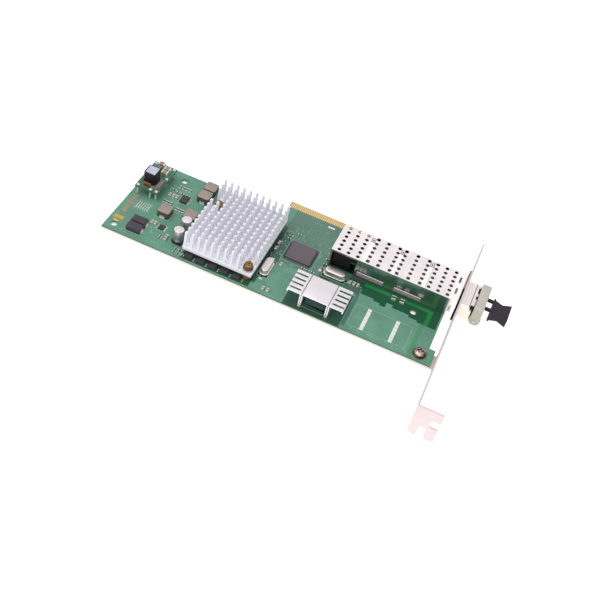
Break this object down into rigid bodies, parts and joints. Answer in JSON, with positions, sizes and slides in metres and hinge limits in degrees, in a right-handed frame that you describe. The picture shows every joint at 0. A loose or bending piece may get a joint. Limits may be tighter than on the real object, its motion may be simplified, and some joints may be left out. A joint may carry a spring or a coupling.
{
  "type": "optical network interface card",
  "caption": "Short server network card with an edge connector, full-height bracket, pin-fin heat sink, perforated optical cage, transceiver and dust plug.",
  "frame": {"origin": "on the component face of the board, where the centre line of the key notch meets the outer edge of the edge connector", "axes": "+X along the board towards the mounting bracket, +Y out of the edge connector, +Z off the component face"},
  "size_m": [0.1932, 0.12, 0.0184],
  "materials": {
    "board": "green solder mask over glass board",
    "gold_plate": "gold plated contact",
    "tin_plate": "tinned pad",
    "bracket_steel": "bright nickel plated steel sheet",
    "screw_steel": "plated screw",
    "foam": "black conductive foam",
    "cage_sheet": "bright nickel plated spring sheet",
    "black_moulding": "black moulded plastic",
    "cast_zinc": "plated cast zinc",
    "card_edge": "green card edge",
    "beige_latch": "beige painted bail",
    "plug_rubber": "charcoal soft plastic",
    "heatsink_aluminium": "clear anodised aluminium",
    "brass_pin": "turned brass",
    "spring_wire": "spring wire",
    "spacer_brown": "orange brown spacer",
    "chip_black": "black moulded chip package",
    "chip_grey": "grey moulded chip package",
    "pad_grey": "thermal pad",
    "lead_tin": "tinned lead",
    "sink_tin": "bright tin plated sheet",
    "crystal_can": "plated crystal can",
    "converter_green": "green solder mask",
    "solder": "bright solder",
    "label_white": "pale blank label",
    "copper_wire": "enamelled copper",
    "ceramic_tan": "tan ceramic",
    "ferrite_tan": "warm grey pressed powder",
    "tantalum_black": "dark moulded case",
    "can_aluminium": "drawn aluminium can"
  },
  "bodies": {
    "root": {"circuit_board": "board", "edge_contacts_top": "gold_plate", "edge_contacts_bottom": "gold_plate", "tinned_pads": "tin_plate", "mounting_bracket": "bracket_steel", "bracket_screw": "screw_steel", "screw_washer": "screw_steel", "bezel_gasket": "foam", "transceiver_cage": "cage_sheet", "cage_window_cover": "cage_sheet", "cage_collar": "cage_sheet", "host_connector": "black_moulding", "transceiver_body": "cast_zinc", "transceiver_card": "card_edge", "optical_port": "black_moulding", "latch_pin": "cast_zinc", "transceiver_latch": "beige_latch", "dust_plug": "plug_rubber", "main_heatsink": "heatsink_aluminium", "push_pins": "brass_pin", "push_pin_springs": "spring_wire", "push_pin_spacers": "spacer_brown", "network_processor": "chip_black", "thermal_pad": "pad_grey", "interface_chip": "chip_grey", "interface_chip_leads": "lead_tin", "small_heatsink": "sink_tin", "power_regulator": "chip_black", "crystal_a": "crystal_can", "crystal_b": "crystal_can", "crystal_seats": "black_moulding", "clock_buffer": "chip_black", "converter_board": "converter_green", "converter_pins": "solder", "converter_inductor": "black_moulding", "inductor_label": "label_white", "converter_coil": "copper_wire", "converter_capacitors": "ceramic_tan", "converter_chips": "ceramic_tan", "power_inductor_1": "ferrite_tan", "power_inductor_2": "ferrite_tan", "power_inductor_3": "ferrite_tan", "power_inductor_4": "ferrite_tan", "inductor_terminals": "lead_tin", "tantalum_capacitor_a": "tantalum_black", "tantalum_capacitor_b": "tantalum_black", "tantalum_terminals": "lead_tin", "electrolytic_can_a": "can_aluminium", "electrolytic_can_b": "can_aluminium", "electrolytic_bases": "black_moulding", "regulator_chip_a": "chip_black", "regulator_chip_b": "chip_black", "regulator_leads": "lead_tin", "driver_chips": "chip_black", "chip_capacitors": "ceramic_tan", "chip_resistors": "chip_black", "resistor_arrays": "chip_black", "surface_diodes": "chip_black"}
  },
  "joints": []
}
